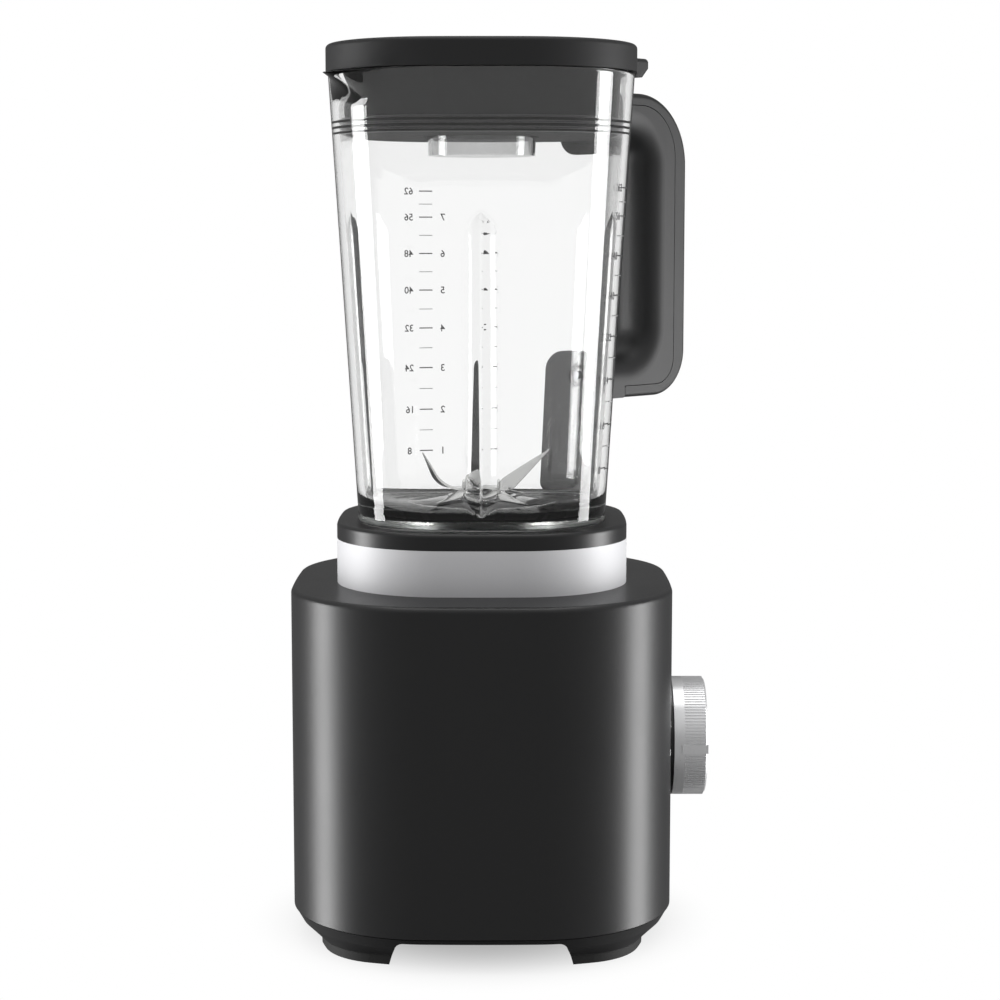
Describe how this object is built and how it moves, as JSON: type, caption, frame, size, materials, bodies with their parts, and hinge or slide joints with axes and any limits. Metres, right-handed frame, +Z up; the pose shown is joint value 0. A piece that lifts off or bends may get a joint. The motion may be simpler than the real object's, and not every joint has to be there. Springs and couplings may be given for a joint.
{
  "type": "countertop blender",
  "caption": "Countertop blender: square motor base with a side control knob, flared glass jar with pouring lip, corner handle, blades, and a lid with a clear centre cap.",
  "frame": {"origin": "on the worktop, under the motor axis", "axes": "+Z up along the motor axis, +X towards the control knob, handle over the +X +Y corner"},
  "size_m": [0.1928, 0.1883, 0.409],
  "materials": {
    "base_plastic": "glossy dark grey moulding",
    "collar_metal": "silver paint on a moulded ring",
    "inner_plastic": "matt black moulding",
    "pad_plastic": "satin dark grey moulding",
    "skirt_plastic": "satin dark grey moulding",
    "sole_rubber": "matt black",
    "screw_steel": "zinc plated",
    "gland_rubber": "matt black",
    "lamination_steel": "stacked laminations",
    "copper_wire": "enamelled copper wire",
    "bracket_metal": "die cast",
    "bearing_steel": "ground",
    "brass": "pressed",
    "carbon": "pressed carbon",
    "bezel_plastic": "gloss black moulding",
    "switch_plastic": "moulded",
    "circuit_board": "coated laminate",
    "shaft_steel": "ground",
    "copper_bar": "turned copper",
    "fan_plastic": "moulded",
    "coupling_rubber": "matt black",
    "knob_metal": "satin chrome on a moulded cap",
    "jar_glass": "clear pressed glass",
    "seal_silicone": "grey silicone",
    "hub_steel": "turned",
    "nut_plastic": "moulded",
    "handle_plastic": "glossy dark grey moulding",
    "handle_skin": "glossy dark grey moulding",
    "coupling_metal": "die cast",
    "blade_steel": "ground stainless steel",
    "lid_plastic": "glossy dark grey moulding",
    "lid_rubber": "soft grey sealing ring",
    "cap_clear": "clear moulded plastic"
  },
  "bodies": {
    "base": {"housing": "base_plastic", "collar": "collar_metal", "deck": "inner_plastic", "seat_pad": "pad_plastic", "bottom_cover": "skirt_plastic", "feet": "sole_rubber", "cover_screws": "screw_steel", "cord_gland": "gland_rubber", "stator": "lamination_steel", "field_coils": "copper_wire", "upper_bracket": "bracket_metal", "lower_bracket": "bracket_metal", "motor_bearings": "bearing_steel", "motor_grommets": "gland_rubber", "motor_screws": "screw_steel", "brush_holders": "brass", "brushes": "carbon", "fan_shroud": "inner_plastic", "knob_bezel": "bezel_plastic", "rotary_switch": "switch_plastic", "control_board": "circuit_board", "board_screws": "screw_steel"},
    "rotor": {"motor_shaft": "shaft_steel", "armature_core": "lamination_steel", "armature_windings": "copper_wire", "commutator": "copper_bar", "cooling_fan": "fan_plastic", "drive_coupling": "coupling_rubber"},
    "knob": {"knob": "knob_metal", "knob_shaft": "shaft_steel"},
    "jar": {"jar_body": "jar_glass", "floor_gasket": "seal_silicone", "bearing_housing": "hub_steel", "blade_bearings": "bearing_steel", "shaft_seal": "seal_silicone", "retaining_nut": "nut_plastic", "handle_frame": "handle_plastic", "handle_cover": "handle_skin", "handle_screws": "screw_steel"},
    "blades": {"driven_coupling": "coupling_metal", "bottom_blade": "blade_steel", "middle_blade": "blade_steel", "top_blade": "blade_steel", "blade_washer": "blade_steel", "blade_nut": "blade_steel", "blade_shaft": "blade_steel"},
    "lid": {"lid_cover": "lid_plastic", "lid_plug": "lid_plastic", "lid_gasket": "lid_rubber"},
    "cap": {"cap": "cap_clear"}
  },
  "joints": [
    {"name": "knob_turn", "type": "hinge", "parent": "base", "child": "knob", "pos_m": [0.0882, 0, 0.0882], "axis": [1, 0, 0], "range_deg": [-212, 32]},
    {"name": "motor_spin", "type": "hinge", "parent": "base", "child": "rotor", "pos_m": [0, 0, 0.11], "axis": [0, 0, 1], "continuous": true},
    {"name": "jar_lift", "type": "slide", "parent": "base", "child": "jar", "axis": [0, 0, 1], "range_m": [0, 0.12]},
    {"name": "blade_spin", "type": "hinge", "parent": "jar", "child": "blades", "pos_m": [0, 0, 0.2], "axis": [0, 0, 1], "continuous": true},
    {"name": "lid_lift", "type": "slide", "parent": "jar", "child": "lid", "axis": [0, 0, 1], "range_m": [0, 0.08]},
    {"name": "cap_lift", "type": "slide", "parent": "lid", "child": "cap", "axis": [0, 0, 1], "range_m": [0, 0.07]}
  ],
  "couplings": [
    {"joint": "blade_spin", "follows": "motor_spin", "ratio": 1}
  ]
}
